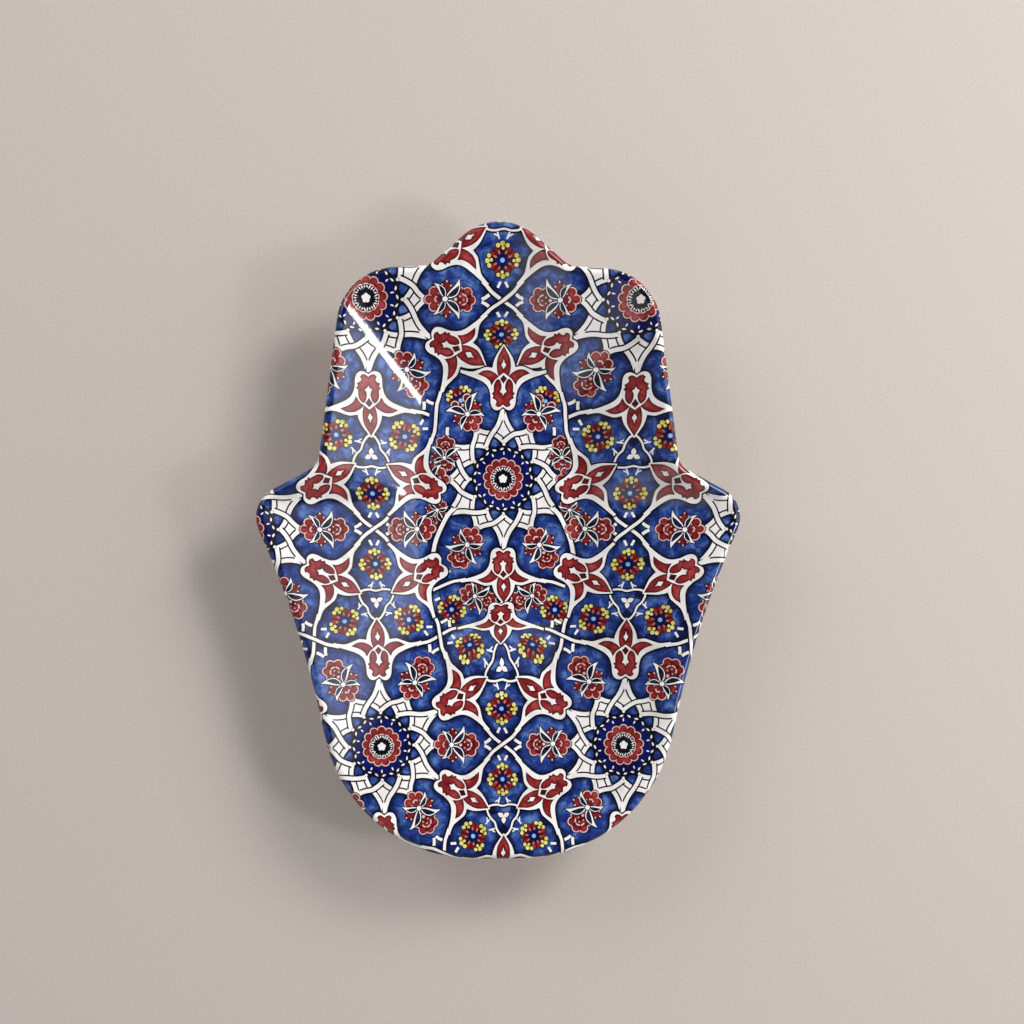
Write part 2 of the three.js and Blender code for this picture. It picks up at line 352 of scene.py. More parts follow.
def smooth(points, closed=True, step=curveStep):
    # a curve through given points; a third value marks a sharp corner
    count = len(points)
    line = []
    for i in range(count if closed else count - 1):
        p0, p1 = points[i], points[(i + 1) % count]
        before = points[i - 1] if closed or i else p0
        after = points[(i + 2) % count] if closed or i + 2 < count else p1
        k0 = p0 if len(p0) > 2 else before
        k1 = p1 if len(p1) > 2 else after
        m0 = [(p1[a] - k0[a]) * (1.0 if k0 is p0 else 0.5) for a in (0, 1)]
        m1 = [(k1[a] - p0[a]) * (1.0 if k1 is p1 else 0.5) for a in (0, 1)]
        steps = max(1, min(8, math.ceil(math.dist(p0[:2], p1[:2]) / step)))
        for s in range(steps):
            t = s / steps
            h = (2 * t**3 - 3 * t**2 + 1, t**3 - 2 * t**2 + t, 3 * t**2 - 2 * t**3, t**3 - t**2)
            line.append(tuple(h[0] * p0[a] + h[1] * m0[a] + h[2] * p1[a] + h[3] * m1[a] for a in (0, 1)))
    if not closed:
        line.append(tuple(points[-1][:2]))
    return line


def mirrored(half, step=curveStep):
    # half runs from the axis x = 0 round one side and back to the axis
    left = [(-p[0],) + tuple(p[1:]) for p in reversed(half) if abs(p[0]) > 1e-6]
    return smooth(list(half) + left, True, step)


def disc(x, y, radius, count=14):
    return [(x + radius * math.cos(2 * math.pi * i / count), y + radius * math.sin(2 * math.pi * i / count))
            for i in range(count)]


def scallop(x, y, radius, depth, lobes, perLobe=4):
    line = []
    for i in range(lobes * perLobe):
        turn = 2 * math.pi * i / (lobes * perLobe)
        reach = radius - depth * (1 - abs(math.cos(turn * lobes / 2)) ** 0.7)
        line.append((x + reach * math.sin(turn), y + reach * math.cos(turn)))
    return line


def ribbon(path, width, step=curveStep):
    line = smooth(path, False, step)
    left, right = [], []
    for i, p in enumerate(line):
        a, b = line[max(i - 1, 0)], line[min(i + 1, len(line) - 1)]
        run = math.dist(a, b)
        nx, ny = -(b[1] - a[1]) / run * width / 2, (b[0] - a[0]) / run * width / 2
        left.append((p[0] + nx, p[1] + ny))
        right.append((p[0] - nx, p[1] - ny))
    return left + right[::-1]


def leaf(x, y, degrees, length, width, base=0.0, count=6):
    # an almond that starts at base and has its tip at length
    left, right = [], []
    for i in range(count + 1):
        t = i / count
        half = width / 2 * math.sin(math.pi * t**0.85) ** 0.9 if 0 < t < 1 else 0.0
        along = base + (length - base) * t
        left.append((along, half))
        if 0 < t < 1:
            right.append((along, -half))
    return turned(left + right[::-1], x, y, degrees)


def turned(points, x, y, degrees, size=1.0, flip=1):
    # points moved from their own frame to a place, a heading and a size
    c, s = polar(size, degrees)
    return [(x + p[0] * c - flip * p[1] * s, y + p[0] * s + flip * p[1] * c) + tuple(p[2:]) for p in points]


def turnedLeft(loop):
    # the same loop, counter-clockwise
    area = sum(a[0] * b[1] - b[0] * a[1] for a, b in zip(loop, loop[1:] + loop[:1]))
    return loop if area > 0 else loop[::-1]


def grow(loop, distance):
    loop = turnedLeft(loop)
    grown = []
    for i, p in enumerate(loop):
        a, b = loop[i - 1], loop[(i + 1) % len(loop)]
        la, lb = math.dist(a, p) or 1e-9, math.dist(p, b) or 1e-9
        mx = (p[1] - a[1]) / la + (b[1] - p[1]) / lb
        my = -(p[0] - a[0]) / la - (b[0] - p[0]) / lb
        size = math.hypot(mx, my) or 1.0
        reach = distance / max(0.45, size / 2)       # the limit holds back a sharp corner
        grown.append((p[0] + mx / size * reach, p[1] + my / size * reach))
    return grown


# The ornament: a motif gives the ink, layer and loop of each shape, and a higher layer lies on top
net = {
    "spacing": 112.0,        # from rosette to rosette
    "line": 0.66,            # dark line beside white work
    "shade": 2.9,            # deep blue brushed beside the dark line, fading out
    "rimLine": 0.28,         # thin dark edge of a red shape
    "rimShade": 0.85,        # maroon brushed inside that edge, fading out
    "columns": 5, "rows": 5,
    "wallOrigin": (1.7, 4.7), "wallStretch": 1.016,
    "wellOrigin": (2.8, 27.1), "wellScale": (0.99, 1.05),
    "wellTail": 0.86, "wellTailFrom": 30.0,                        # the panel is shorter below its star
    "taperX": 0.00063, "taperUp": 0.00046, "taperDown": 0.00016,   # the sheet opens towards the fingers
    # squeezed beside the well: distance below the net's centre, and the pull downwards there
    "gatherAt": (-97.0, -74.0, -50.0, 0.0, 28.0, 57.6, 64.7, 80.0),
    "gatherBy": (0.0, -3.3, 0.0, 0.0, 4.1, -5.2, -1.9, 0.0),
    "gatherNear": 8.0, "gatherFar": 34.0,
    "lapShift": 4.6,         # the heads beside the well sit higher on the wall
    "wobble": 0.28,          # hand drift of the drawing
}
inkNames = ["cobalt", "deep", "outline", "white", "red", "pink", "navy", "yellow", "sky", "orange", "maroon",
            "slate", "guide"]
guide = inkNames.index("guide")      # not printed: its points let an ink change tone inside a shape
grounds = ("cobalt", "deep")
shadeLayer, groundLayer, whiteLayer, lapLift = 0.2, 1.0, 21.0, 100.0


def whiteWork(loop):
    # white with a dark line round it, and deep blue brushed beside the line
    yield "deep", shadeLayer, grow(loop, net["shade"])
    yield "outline", whiteLayer - 1, grow(loop, net["line"])
    yield "white", whiteLayer, loop


def whiteBand(path, width, layer=whiteLayer, step=curveStep, shadeStep=2.0):
    # the same for a band along a path
    yield "deep", shadeLayer, ribbon(path, width + 2 * net["shade"], shadeStep)
    yield "outline", layer - 1, ribbon(path, width + 2 * net["line"], step)
    yield "white", layer, ribbon(path, width, step)


def redWork(layer, loop):
    # a red shape with a thin dark edge, shaded inside it
    yield "maroon", layer - 0.1, grow(loop, net["rimLine"])
    yield "red", layer, loop
    yield "guide", 0, grow(loop, -net["rimShade"])[::2]


def resized(shapes, x, y, size):
    # the same shapes, larger or smaller about one point
    for ink, layer, loop in shapes:
        yield ink, layer, turned([(p[0] - x, p[1] - y) for p in loop], x, y, 0, size)


rose = {
    "size": 1.06, "edge": 13.4, "ring": 11.7,
    "dashes": 24, "dashRing": 12.2, "ticks": 14, "tickRing": 10.5,
    "lobes": 13, "lobeRing": 6.75, "redRing": 6.65, "middle": 6.4, "frill": 5.45,
    "eye": 4.95, "hairs": 26, "hairRing": 4.15, "pupil": 3.2, "spot": 1.8,
}


def roseHead():
    yield "outline", 1, disc(0, 0, rose["edge"], 40)
    yield "navy", 2, disc(0, 0, rose["ring"], 40)
    for i in range(rose["dashes"]):
        heading = 360 / rose["dashes"] * i
        x, y = polar(rose["dashRing"], heading + 4)
        yield "white", 3, leaf(x, y, heading + (70 if i % 2 else 112), 0.95, 0.8, -0.95, 3)
    for i in range(rose["ticks"]):
        heading = 360 / rose["ticks"] * i + 90
        x, y = polar(rose["tickRing"], heading)
        yield "white", 3, leaf(x, y, heading, 0.8, 0.66, -0.8, 3)
    for i in range(rose["lobes"]):
        heading = 360 / rose["lobes"] * i + 90
        x, y = polar(rose["lobeRing"], heading)
        yield "outline", 3, disc(x, y, 2.2, 12)
        yield "pink", 4 + 0.01 * i, disc(x, y, 1.95, 12)
        x, y = polar(rose["redRing"], heading)
        yield "red", 4.5 + 0.01 * i, disc(x, y, 1.6, 12)
        yield "guide", 0, disc(x, y, 0.55, 5)
    yield "red", 5, disc(0, 0, rose["middle"], 30)
    yield "pink", 6, scallop(0, 0, rose["frill"], 0.4, rose["lobes"])
    yield "outline", 7, disc(0, 0, rose["eye"], 30)
    for i in range(rose["hairs"]):
        heading = 360 / rose["hairs"] * i
        x, y = polar(rose["hairRing"], heading)
        length = 0.8 + 0.25 * math.sin(1.7 * i)
        yield "white", 8, leaf(x, y, heading + 26 * math.sin(2.4 * i), length, 0.6, -length, 2)
    yield "outline", 9, disc(0, 0, rose["pupil"], 22)
    yield "white", 10, scallop(0, 0, rose["spot"], 0.45, 5)


def rosette():
    yield from resized(roseHead(), 0, 0, rose["size"])


star = {
    "longTip": 30.2, "shortTip": 25.2, "crossing": 20.0, "innerTip": 15.9, "band": 1.75,
    "petalFrom": 12.2, "petalTo": 19.4, "petalWidth": 5.8, "petalEdge": 1.6, "dotRing": 14.9,
}


def strapStar():
    for k in range(12):
        heading = 30 * k
        tip, spread = (star["longTip"], 1.0) if k % 2 else (star["shortTip"], 1.12)
        rise = tip - star["crossing"]
        petal = leaf(0, 0, heading + 15, star["petalTo"], star["petalWidth"], star["petalFrom"])
        yield "outline", 0.4, petal
        yield "deep", 0.45, grow(petal, -net["line"])
        yield "cobalt", 0.5, grow(petal, -star["petalEdge"])
        x, y = polar(star["dotRing"], heading)
        yield "outline", 0.6, disc(x, y, 1.35, 10)
        yield "white", 0.7, disc(x, y, 0.65, 8)
        kite = []
        for side in (-1, 1):
            flank = [polar(tip, heading),
                     polar(star["crossing"] + rise * 0.55, heading + 3.1 * spread * side),
                     polar(star["crossing"] + rise * 0.24, heading + 7.6 * spread * side),
                     polar(star["crossing"], heading + 15 * side)]
            path = flank + [polar(star["innerTip"] + 2.0, heading + 22.5 * side),
                            polar(star["innerTip"], heading + 30 * side)]
            yield from whiteBand(path, star["band"], 13 if side < 0 else 15, 1.6, 2.2)
            kite.append(smooth(flank, False, 2.0))
        yield "white", 11, kite[0] + [polar(star["innerTip"], heading)] + kite[1][:0:-1]
        yield "white", 16, leaf(0, 0, heading, tip + 0.9, 1.5, star["crossing"] + rise * 0.42)


palm = {  # half of each shape, up the y axis, with the rosette at the origin
    "edge": [(0, 30.9, 1), (2.3, 29.5), (4.5, 30.1), (5.6, 32.3), (5.9, 36.0), (6.9, 39.2), (8.9, 41.4),
             (12.5, 43.2), (16.6, 44.6), (19.6, 45.5, 1), (19.4, 46.8, 1), (17.2, 46.3), (14.3, 46.1),
             (11.2, 47.1), (8.3, 48.1), (6.4, 47.9), (5.1, 47.7, 1), (4.75, 49.5), (3.8, 52.0), (2.0, 54.8),
             (0, 57.5, 1)],
    "tail": [(0, 45.3, 1), (2.05, 44.1, 1), (2.7, 46.3), (2.85, 49.2), (2.3, 52.1), (0, 56.2, 1)],
    "horn": [(11.4, 45.2, 1), (9.3, 46.3), (6.7, 46.4), (4.2, 45.3), (2.5, 43.8, 1), (3.9, 42.8),
             (5.4, 40.6, 1), (6.3, 42.4), (8.6, 44.1)],
    "flame": [(0, 47.0, 1), (1.05, 48.9), (0.4, 49.7), (0, 51.3, 1)],
    "chevron": [(0, 44.8, 1), (2.0, 43.1, 1), (2.5, 43.6, 1), (0, 45.4, 1)],
    "diamond": [(0, 40.6, 1), (1.6, 42.8, 1), (0, 44.5, 1)],
    "head": [(0, 32.3, 1), (1.2, 31.3), (2.4, 31.1), (3.25, 31.9, 1), (2.75, 32.8), (3.1, 33.9),
             (4.6, 34.8, 1), (4.1, 35.6, 1), (4.9, 36.6, 1), (4.1, 37.2, 1), (4.15, 39.5), (3.7, 41.3),
             (2.4, 42.5), (1.4, 41.2), (1.05, 38.9), (2.0, 37.0, 1), (0.8, 36.5), (0, 34.9, 1)],
}


def palmette():
    yield from whiteWork(mirrored(palm["edge"]))
    yield from redWork(22, mirrored(palm["tail"]))
    for side in (-1, 1):
        yield from redWork(22, smooth([(side * p[0],) + tuple(p[1:]) for p in palm["horn"]]))
    flame = mirrored(palm["flame"], 0.9)
    yield "maroon", 22.5, grow(flame, net["rimLine"])
    yield "white", 23, flame
    yield "white", 24, mirrored(palm["chevron"], 2)
    yield "maroon", 25, mirrored(palm["diamond"], 2)
    head = mirrored(palm["head"], 0.9)
    yield "white", 22.1, grow(head, 0.8)
    yield from redWork(22.3, head)


bloom = {  # along the x axis, with the rosette at the origin
    "size": 0.86, "heart": 32.4, "head": 41.1, "paleEdge": 0.6,
    "headLobes": ((0, 4.0, 2.0), (57, 4.2, 2.0), (-57, 4.2, 2.0), (114, 4.2, 1.9), (-114, 4.2, 1.9)),
    "sideTurn": 86, "bladePairs": ((53, 1.04), (124, 0.79)),       # degrees from the axis, and size
    "outer": [(0.6, 0.0, 1), (2.0, -1.75), (4.4, -3.0), (7.0, -2.75), (9.3, -1.35), (11.4, 0.55, 1),
              (9.0, 0.25), (6.6, 0.35), (4.0, 0.6), (2.0, 0.5)],
    "core": [(1.2, -0.1, 1), (2.4, -1.5), (4.5, -2.6), (6.9, -2.35), (8.9, -1.2, 1),
             (6.6, -0.5), (4.4, -0.1), (2.6, 0.1)],
    "side": [(2.0, 0.0, 1), (4.0, -1.6), (5.6, -2.4), (6.8, -2.3), (7.2, -1.2, 1), (8.2, -0.6), (8.7, 0.0),
             (8.2, 0.6), (7.2, 1.2, 1), (6.8, 2.3), (5.6, 2.4), (4.0, 1.6)],
}


def petals(lobes):
    # round red petals with a pale edge, seen as one head
    for x, y, radius in lobes:
        yield "slate", 31, disc(x, y, radius + bloom["paleEdge"] + 0.45, 13)
        yield "pink", 31.1, disc(x, y, radius + bloom["paleEdge"], 13)
        yield "red", 31.2, disc(x, y, radius, 13)
        yield "guide", 0, disc(x, y, max(radius - net["rimShade"], 0.4), 6)


def bloomHead():
    heart, head = bloom["heart"], bloom["head"]
    lobes = [(head - 1.2, 0.0, 4.4)]
    for turn, reach, radius in bloom["headLobes"]:
        dx, dy = polar(reach, turn)
        lobes.append((head - 0.4 + dx, dy, radius))
    yield from petals(lobes)
    for turn in (28, -28, 86, -86):
        yield "maroon", 31.3, leaf(head - 0.4, 0, turn, 5.6, 0.95, 1.6, 3)
    for x, y in ((head - 1.2, 2.1), (head - 1.2, -2.1), (head + 0.9, 0.0)):
        yield "maroon", 31.4, disc(x, y, 2.2, 12)
        yield "red", 31.5, disc(x, y, 1.8, 12)
    for turn in (62, 0, -62):
        arc = [(head - 0.7 + polar(2.6, turn + a)[0], polar(2.6, turn + a)[1]) for a in (-25, 0, 25)]
        yield "pink", 31.6, ribbon(arc, 0.75, 0.9)
    for x, y in ((head - 1.7, 1.5), (head - 1.7, -1.5), (head + 0.1, 0.0)):
        yield "pink", 31.6, disc(x, y, 0.42, 8)
    yield from petals([(heart - 5.2, 3.3, 2.0), (heart - 5.2, -3.3, 2.0), (heart - 7.5, 0.0, 1.8)])
    yield "red", 31.3, disc(heart - 4.2, 0, 2.6, 12)
    yield "pink", 31.6, ribbon([(heart - 3.9, 1.4), (heart - 4.8, 0.0), (heart - 3.9, -1.4)], 0.8, 0.9)
    yield "pink", 31.6, disc(heart + 4.9, 0, 0.8, 10)
    for side in (-1, 1):
        yield from bloomSide(side)
    yield "slate", 36, disc(heart, 0, 1.7, 12)
    yield "white", 37, disc(heart, 0, 1.25, 12)


def bloomSide(side):
    # the side petal and the two leaves of the pinwheel on one side of the axis
    heart, turn = bloom["heart"], side * bloom["sideTurn"]
    fan = smooth(turned(bloom["side"], heart, 0, turn, 1.0, side), True, 0.9)
    yield "slate", 30, grow(fan, 0.7)
    yield from redWork(30.5, fan)
    for along, across, heading in ((7.4, 0.0, 0), (5.8, 1.5, 40), (5.8, -1.5, -40)):
        tip = turned([(along, across)], heart, 0, turn, 1.0, side)[0]
        yield "pink", 30.6, leaf(tip[0], tip[1], side * (bloom["sideTurn"] + heading), 1.5, 0.9, 0.2, 3)
    for heading, size in bloom["bladePairs"]:
        outer, core = (smooth(turned(bloom[part], heart, 0, side * heading, size, side))
                       for part in ("outer", "core"))
        yield "slate", 33, grow(outer, net["line"] * 0.75)
        yield "white", 34, outer
        yield "slate", 35, core


def carnation():
    yield from resized(bloomHead(), bloom["heart"], 0, bloom["size"])


bead = {  # beside the middle of an edge that runs along x
    "size": 0.93, "centre": (net["spacing"] / 2, 15.7),
    "back": 6.0, "petalRing": 4.9, "cup": 3.2, "eye": 1.05,
    "beads": ((1, 6.8, 1.06), (19, 6.35, 0.97), (-18, 6.4, 0.9), (-2, 5.0, 0.74)),    # turn, reach, radius
    # short strokes outside: two ends beside the centre line, and the width
    "strokes": (((1.0, -8.4), (2.2, -10.7), 1.1), ((1.5, 7.9), (2.4, 10.6), 0.62),
                ((1.9, 8.9), (3.7, 9.9), 0.55)),
}


def beadHead():
    x, y = bead["centre"]
    yield "slate", 41, disc(x, y, bead["back"], 20)
    for quarter in range(0, 360, 90):
        for turn, reach, size in bead["beads"]:
            bx, by = polar(reach, quarter + turn)
            yield "slate", 41, disc(x + bx, y + by, size + 0.5, 10)
            yield "yellow", 43.4, disc(x + bx, y + by, size, 10)
        for side in (-1, 1):
            px, py = polar(bead["petalRing"], quarter + 45 + 13 * side)
            yield "maroon", 42.8, disc(x + px, y + py, 1.65, 12)
            yield "red", 43, disc(x + px, y + py, 1.35, 12)
            yield "guide", 0, disc(x + px, y + py, 0.45, 5)
            yield "orange", 43.2, leaf(x, y, quarter + 25 * side, 4.6, 1.0, 2.6, 3)
        px, py = polar(3.4, quarter + 45)
        yield "red", 43, disc(x + px, y + py, 1.4, 12)
        yield "maroon", 43.1, leaf(x, y, quarter + 45, 6.3, 0.7, 3.0, 3)
    yield "navy", 44, scallop(x, y, bead["cup"], 0.6, 8)
    yield "sky", 45, disc(x, y, bead["eye"], 12)


def beadFlower():
    x, y = bead["centre"]
    yield from resized(beadHead(), x, y, bead["size"])
    for side in (-1, 1):
        for near, far, width in bead["strokes"]:
            yield "white", 42, ribbon([(x + u * side, y + v) for u, v in (near, far)], width)


cross = {
    "width": 1.35, "half": [(8.4, 7.6), (6.3, 5.4), (4.9, 3.7), (2.8, 2.0)],
    "over": [(-3.1, -2.25), (-2.4, -1.75), (0, 0), (2.4, 1.75), (3.1, 2.25)],
    "mark": [(8.6, 0.6), (7.2, 1.2), (5.6, 2.4)],
}


def crossing():
    # two bands that pass over each other at the middle of an edge
    x, width, half = net["spacing"] / 2, cross["width"], cross["half"]
    for side in (1, -1):
        path = [(x - u, v * side) for u, v in half] + [(x, 0)] + [(x + u, -v * side) for u, v in half[::-1]]
        yield from whiteBand(path, width)
    over = [(x + u, v) for u, v in cross["over"]]
    yield "outline", 51, ribbon(over[1:-1], width + 2 * net["line"])
    yield "white", 52, ribbon(over, width)
    for end in (-1, 1):
        for side in (-1, 1):
            mark = ribbon([(x + u * end, v * side) for u, v in cross["mark"]], width)
            yield "outline", 49, grow(mark, 0.4)
            yield "white", 50, mark


clover = {
    "lobe": 3.1, "lobeWidth": 2.1, "lobeLine": 0.45, "band": 0.85,
    "corners": ((8.6, 0), (7.7, 13), (6.1, 33), (5.0, 52), (4.9, 68), (6.1, 87), (7.7, 107), (8.6, 120)),
}


def trefoil():
    # the heart of a triangle, with thin lines between the three tail tips
    y = net["spacing"] / math.sqrt(3)
    for k in range(3):
        heading = 120 * k - 90
        lobe = leaf(0, y, heading, clover["lobe"], clover["lobeWidth"], 0.0, 5)
        yield "outline", 55, grow(lobe, clover["lobeLine"])
        yield "white", 56, lobe
        path = [(u, y + v) for u, v in (polar(r, heading + a) for r, a in clover["corners"])]
        yield "outline", whiteLayer - 1, ribbon(path, clover["band"] + 2 * net["line"])
        yield "white", whiteLayer, ribbon(path, clover["band"])


motifs = [  # drawing, copies round each rosette, degrees between them
    (rosette, 1, 0), (strapStar, 1, 0), (palmette, 6, 60), (carnation, 6, 60), (beadFlower, 6, 60),
    (crossing, 3, 60), (trefoil, 2, 60),
]


def motifMesh(name, shapes):
    verts, faces, inkRow, layerRow = [], [], [], []
    for ink, layer, loop in shapes:
        faces.append(list(range(len(verts), len(verts) + len(loop))))
        verts += [(p[0], p[1], 0.0) for p in turnedLeft(loop)]
        inkRow.append(inkNames.index(ink))
        layerRow.append(float(layer))
    mesh = newMesh(name, verts, faces)
    mesh.attributes.new("ink", "INT", "FACE").data.foreach_set("value", inkRow)
    mesh.attributes.new("layer", "FLOAT", "FACE").data.foreach_set("value", layerRow)
    return mesh


def drawnNet():
    # every loop of the sheet: motif name, ink, layer and points, about the net's own origin
    tree = buildNetTree()
    carrier = newObject("netCarrier", newMesh("netCarrier", [], []))
    loops = []
    for draw, copies, step in motifs:
        name = draw.__name__
        source = newObject("motif_" + name, motifMesh(name, draw()))
        laid = runTree(carrier, tree, {
            "Motif": source, "Spacing": net["spacing"], "Columns": net["columns"], "Rows": net["rows"],
            "Copies": copies, "Step": math.radians(step)})
        points = readVectors(laid.vertices, "co")[:, :2]
        inkRow, layerRow = laid.attributes["ink"].data, laid.attributes["layer"].data
        for face, ink, layer in zip(laid.polygons, inkRow, layerRow):
            loops.append((name, ink.value, layer.value, points[list(face.vertices)]))
        bpy.data.meshes.remove(laid)
        bpy.data.objects.remove(source)
    bpy.data.objects.remove(carrier)
    return loops


def drift(points):
    # the wander of a hand-drawn line: a long wave and a shorter one each way, in millimetres
    x, y = points[:, 0], points[:, 1]
    dx = np.sin(y / 5.3 + 1.7 * np.sin(x / 23.0)) + 0.6 * np.sin(x / 3.1 + y / 8.7 + 2.0)
    dy = np.sin(x / 4.9 + 1.3 * np.sin(y / 19.0) + 0.8) + 0.6 * np.sin(y / 3.4 - x / 9.1)
    return points + net["wobble"] * 0.6 * np.column_stack([dx, dy])


def wallPlace(points):
    # net millimetres to the wall sheet: gathered below the well, opening towards the fingers
    x, y = points[:, 0] * net["wallStretch"], points[:, 1]
    near = np.clip((np.abs(x) - net["gatherNear"]) / (net["gatherFar"] - net["gatherNear"]), 0.0, 1.0)
    y = y - (1 - near * near * (3 - 2 * near)) * np.interp(-y, net["gatherAt"], net["gatherBy"])
    taper = np.where(y > 0, net["taperUp"], net["taperDown"])
    moved = np.column_stack([x * (1 + net["taperX"] * y), y * (1 + taper * y)])
    return drift(moved + net["wallOrigin"])


def wellPlace(points):
    below = np.minimum(points[:, 1] + net["wellTailFrom"], 0.0) * (1 - net["wellTail"])
    return drift((points - np.column_stack([0 * below, below])) * net["wellScale"] + net["wellOrigin"])


sectors = {"up": (62, 118), "upWide": (48, 132), "upper": (40, 140), "down": (-118, -62)}    # degrees
reaches = {"own": 0.5, "crossing": 0.6, "between": 0.66}      # shares of the spacing
sideBand, outerHead, tuck = 12.0, 38.6, 12.0                  # millimetres


def bearing(points):
    # a loop's distance and heading from the middle rosette, and whether it stands upright
    x, y = points[:, 0].mean(), points[:, 1].mean()
    wide, tall = np.ptp(points, axis=0)
    return math.hypot(x, y), math.degrees(math.atan2(y, x)), tall > wide


def within(heading, sector):
    return sectors[sector][0] < heading < sectors[sector][1]


def wallRole(motif, points):
    # which loops of the wall sheet cross the well's edge, and which make room for the centre panel
    reach, heading, upright = bearing(points)
    share = reach / net["spacing"]
    if motif == "palmette" and share < reaches["own"]:
        return "hidden" if within(heading, "up") else "laps"
    if motif == "carnation" and share < reaches["own"]:
        return "laps" if abs(points[:, 1].mean()) < sideBand else "hidden"
    if motif == "crossing" and share < reaches["crossing"] and within(heading, "upWide"):
        return "laps" if upright else "wall"
    if motif in ("beadFlower", "trefoil") and share < reaches["between"] and within(heading, "up"):
        return "hidden"
    return "wall"


def wellRole(motif, points):
    # the centre panel keeps its upper and lower palmettes; the sides belong to the wall sheet
    reach, heading, upright = bearing(points)
    if motif == "palmette" and reach / net["spacing"] < reaches["own"]:
        if within(heading, "up"):
            return "laps"
        return "inner" if within(heading, "down") else "hidden"
    if motif == "crossing" and upright or motif == "beadFlower" and within(heading, "down"):
        return "hidden"
    if motif == "carnation" and within(heading, "upper") and reach > outerHead:
        return "hidden"      # a bead flower takes the place of these two heads
    return "inner"


def longTip():
    # the star's lower side tips are drawn on until they meet the palmettes of the wall
    path = [(22.6, 13.9), (25.4, 10.6), (27.8, 5.6), (30.2, -1.0), (31.6, -7.5)]
    yield from whiteWork(ribbon(path, star["band"]))


bloomHeart = (bloom["heart"], 0.0)
handSet = [  # extra motifs of the centre panel: drawing, its own centre, place, turn, size, layer shift
    (beadFlower, bead["centre"], (18.9, 62.4), 20.0, 1.0, -15.0),
    (carnation, bloomHeart, (26.3, 36.6), 92.0, 0.8, -10.0),
    (beadFlower, bead["centre"], (23.0, -31.6), 10.0, 0.92, -15.0),
    (carnation, bloomHeart, (13.0, -25.5), 200.0, 0.85, -16.0),
    (carnation, bloomHeart, (30.0, 13.0), -75.0, 0.7, -22.0),
    (longTip, (0.0, 0.0), (0.0, 0.0), 0.0, 1.0, -4.0),
]


def handSetLoops():
    # each one is drawn on both sides of the centre panel's axis
    aside = np.array([net["wellOrigin"][0], 0.0])
    for draw, centre, place, turn, size, shift in handSet:
        for ink, layer, loop in draw():
            if draw is beadFlower and ink == "white":
                continue     # no room for the short strokes here
            centred = [(p[0] - centre[0], p[1] - centre[1]) for p in turnedLeft(loop)]
            points = np.array(turned(centred, place[0], place[1], turn, size))
            if layer > groundLayer:
                layer += shift
            yield points + aside, "both", inkNames.index(ink), layer
            yield (points * [-1, 1])[::-1] + aside, "both", inkNames.index(ink), layer


def touches(points, low, high):
    return (points.max(axis=0) > low).all() and (points.min(axis=0) < high).all()


def sheetLoops(boundary, wellLoop):
    # every loop that reaches the plate: its points, the sheet it prints on, ink and layer
    low, high = boundary.min(axis=0), boundary.max(axis=0)
    wellLow, wellHigh = wellLoop.min(axis=0), wellLoop.max(axis=0)
    loops = drawnNet()
    print("ornament:", len(loops), "loops on one net")
    for motif, ink, layer, points in loops:
        role = wallRole(motif, points)
        lap = net["lapShift"] if role == "laps" and motif == "carnation" else 0.0
        placed = wallPlace(points + [math.copysign(lap, points[:, 0].mean()), 0.0])
        covered = role == "wall" and ((placed > wellLow + tuck) & (placed < wellHigh - tuck)).all()
        if role != "hidden" and not covered and touches(placed, low, high):
            yield placed, role, ink, layer
        role = wellRole(motif, points)
        placed = wellPlace(points)
        if role == "laps" or role == "inner" and touches(placed, wellLow, wellHigh):
            yield placed, role, ink, layer
    for points, role, ink, layer in handSetLoops():
        yield drift(points), role, ink, layer


def topInk(shapes, sheet):
    # laps lie over both sheets, and the other loops print on their own
    best = (-1.0, 0)
    for role, ink, layer in shapes:
        if ink == guide:
            continue
        if role == "laps" and layer > groundLayer:
            best = max(best, (layer + lapLift, ink))
        elif role in ("both", "inner" if sheet == "well" else "wall"):
            best = max(best, (layer, ink))
    return inkNames[best[1]]


def printedFaces():
    # one flat triangulation of both sheets; every triangle gets the ink that lies on top
    boundary = form["lip"][-1]["flat"][::-1]
    wellLoop = form["wall"][0]["flat"][::-1]
    verts, edges, faces, rows = [], [], [], []

    def addPoints(points):
        first = len(verts)
        verts.extend(Vector((float(p[0]), float(p[1]))) for p in points)
        return list(range(first, len(verts)))

    def addLoop(points, role, ink=0, layer=0.0):
        faces.append(addPoints(points))
        rows.append((role, ink, layer))

    addLoop(boundary, "boundary")
    addLoop(wellLoop, "well")
    for ring in form["lip"][0:-1:2]:
        loop = addPoints(ring["flat"])
        edges.extend(zip(loop, loop[1:] + loop[:1]))
    for ring in form["wall"][2::3]:
        addPoints(ring["flat"][::3])
    for loop in sheetLoops(boundary, wellLoop):
        addLoop(*loop)
    cut = delaunay_2d_cdt(verts, edges, faces, 0, 1e-4, True)
    points, triangles, owned = cut[0], cut[2], cut[5]
    print("print sheet:", len(verts), "points in,", len(triangles), "triangles out")
    counts = np.bincount([owner for owners in owned for owner in owners], minlength=len(rows))
    # a loop that holds most of the sheet was filled from its wrong side
    insideOut = {int(i) for i in np.flatnonzero(counts > 0.5 * len(triangles)) if i > 1}
    kept = {}
    for triangle, owners in zip(triangles, owned):
        if 0 in owners:
            sheet = "well" if 1 in owners else "wall"
            ink = topInk([rows[i] for i in insideOut.symmetric_difference(owners)], sheet)
            kept.setdefault((sheet, ink), []).append(triangle)
    return np.array([(p[0], p[1]) for p in points]), {key: np.array(value) for key, value in kept.items()}


flatSpan = 340.0             # millimetres of sheet across the square


def poleAt(z):
    return np.array([[wellCentre[0], wellCentre[1], z]])


def flatShare(flat):
    # sheet millimetres as a share of one square, the way a UV map counts
    return np.column_stack([np.asarray(flat) / flatSpan + 0.5, np.zeros(len(flat))])


